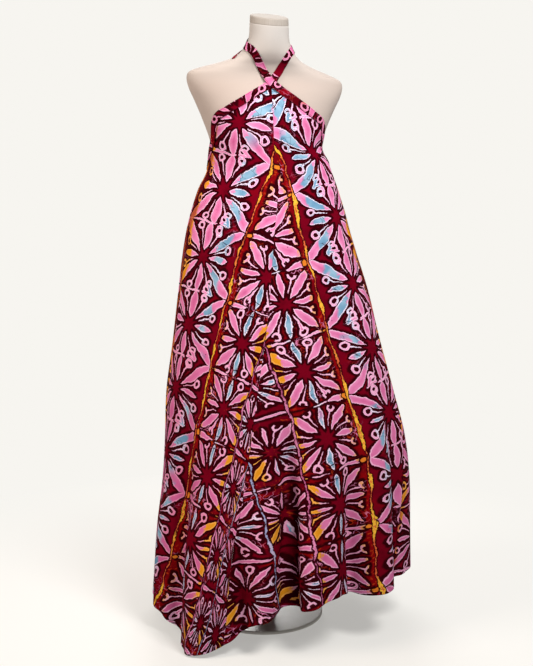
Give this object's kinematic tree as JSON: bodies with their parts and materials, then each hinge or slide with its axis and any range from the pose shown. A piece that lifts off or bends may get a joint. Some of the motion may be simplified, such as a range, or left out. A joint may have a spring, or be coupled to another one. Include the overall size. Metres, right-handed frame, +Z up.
{
  "type": "batik halter maxi dress on a limbless dress form",
  "caption": "Flared floor-length halter dress in printed cotton, its straps crossed at the throat and tied at the nape, on a smooth limbless dress form with a round base.",
  "frame": {"origin": "centre of the underside of the round base, on the floor", "axes": "+Z up along the pole, the dress faces -Y, +X is to the right as seen from the front"},
  "size_m": [0.6642, 0.5922, 1.497],
  "materials": {
    "batik_cotton": "matt plain-weave cotton, wax-resist print of large pink flowers on maroon with blue and yellow patches",
    "batik_binding": "matt plain-weave cotton, bias-cut bands of the same print",
    "form_jersey": "fine off-white jersey stretched smooth over the form",
    "stand_metal": "satin cream paint"
  },
  "bodies": {
    "root": {"front_left": "batik_cotton", "front_right": "batik_cotton", "back_left": "batik_cotton", "back_right": "batik_cotton", "armhole_binding_left": "batik_binding", "armhole_binding_right": "batik_binding", "back_binding": "batik_binding", "halter_strap_left": "batik_binding", "halter_strap_right": "batik_binding", "halter_knot": "batik_binding", "tie_end_left": "batik_binding", "tie_end_back": "batik_binding", "form_torso": "form_jersey", "stand_pole": "stand_metal", "stand_base": "stand_metal"}
  },
  "joints": []
}
